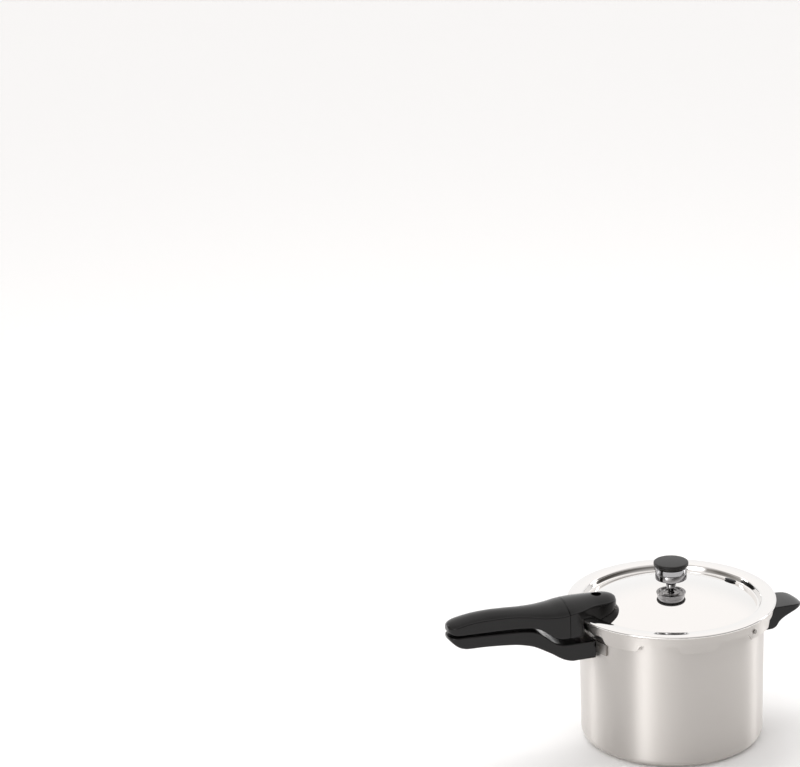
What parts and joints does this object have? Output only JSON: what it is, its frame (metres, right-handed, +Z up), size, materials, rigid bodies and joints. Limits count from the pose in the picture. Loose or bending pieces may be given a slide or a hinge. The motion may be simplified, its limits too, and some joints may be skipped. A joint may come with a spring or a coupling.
{
  "type": "stovetop pressure cooker",
  "caption": "Stovetop pressure cooker: aluminium pot, domed bayonet lid, long two-tier black handle, helper handle, weighted regulator, lock pin.",
  "frame": {"origin": "centre of the pot's flat base", "axes": "+Z up along the pot's axis, long handle towards -X, helper handle towards +X"},
  "size_m": [0.4479, 0.249, 0.2205],
  "materials": {
    "polished_aluminium": "mirror polished",
    "satin_aluminium": "satin, turned",
    "steel_hardware": "plain steel",
    "chrome_weight": "polished",
    "brass_seat": "machined",
    "black_phenolic": "moulded, satin gloss",
    "black_rubber": "moulded rubber"
  },
  "bodies": {
    "pot": {"pot_body": "satin_aluminium", "body_handle_bracket": "steel_hardware", "helper_handle_bracket": "steel_hardware", "bracket_rivets": "steel_hardware", "lock_bracket": "steel_hardware", "body_handle": "black_phenolic", "body_handle_screw": "steel_hardware", "body_handle_washer": "steel_hardware", "helper_handle": "black_phenolic", "helper_handle_screw": "steel_hardware", "helper_handle_washer": "steel_hardware"},
    "seal": {"sealing_ring": "black_rubber"},
    "lid": {"lid_shell": "polished_aluminium", "stop_rivet": "steel_hardware", "vent_pipe": "steel_hardware", "vent_pipe_nut": "steel_hardware", "overpressure_plug": "black_rubber", "cover_handle_head": "black_phenolic", "cover_handle_grip": "black_phenolic", "cover_handle_bracket": "steel_hardware", "cover_handle_screws": "steel_hardware", "grip_screw": "steel_hardware", "lock_pin_gasket": "black_rubber"},
    "lock": {"lock_pin": "steel_hardware", "lock_pin_retainer": "steel_hardware"},
    "regulator": {"regulator_weight": "chrome_weight", "regulator_cap": "black_phenolic", "regulator_seat": "brass_seat"}
  },
  "joints": [
    {"name": "lid_lift", "type": "slide", "parent": "pot", "child": "seal", "axis": [0, 0, 1], "range_m": [0, 0.12]},
    {"name": "lid_turn", "type": "hinge", "parent": "seal", "child": "lid", "pos_m": [0, 0, 0.17], "axis": [0, 0, 1], "range_deg": [0, 22.5]},
    {"name": "lock_pin_rise", "type": "slide", "parent": "lid", "child": "lock", "axis": [0, 0, 1], "range_m": [0, 0.004]},
    {"name": "regulator_lift", "type": "slide", "parent": "lid", "child": "regulator", "axis": [0, 0, 1], "range_m": [0, 0.035]}
  ]
}
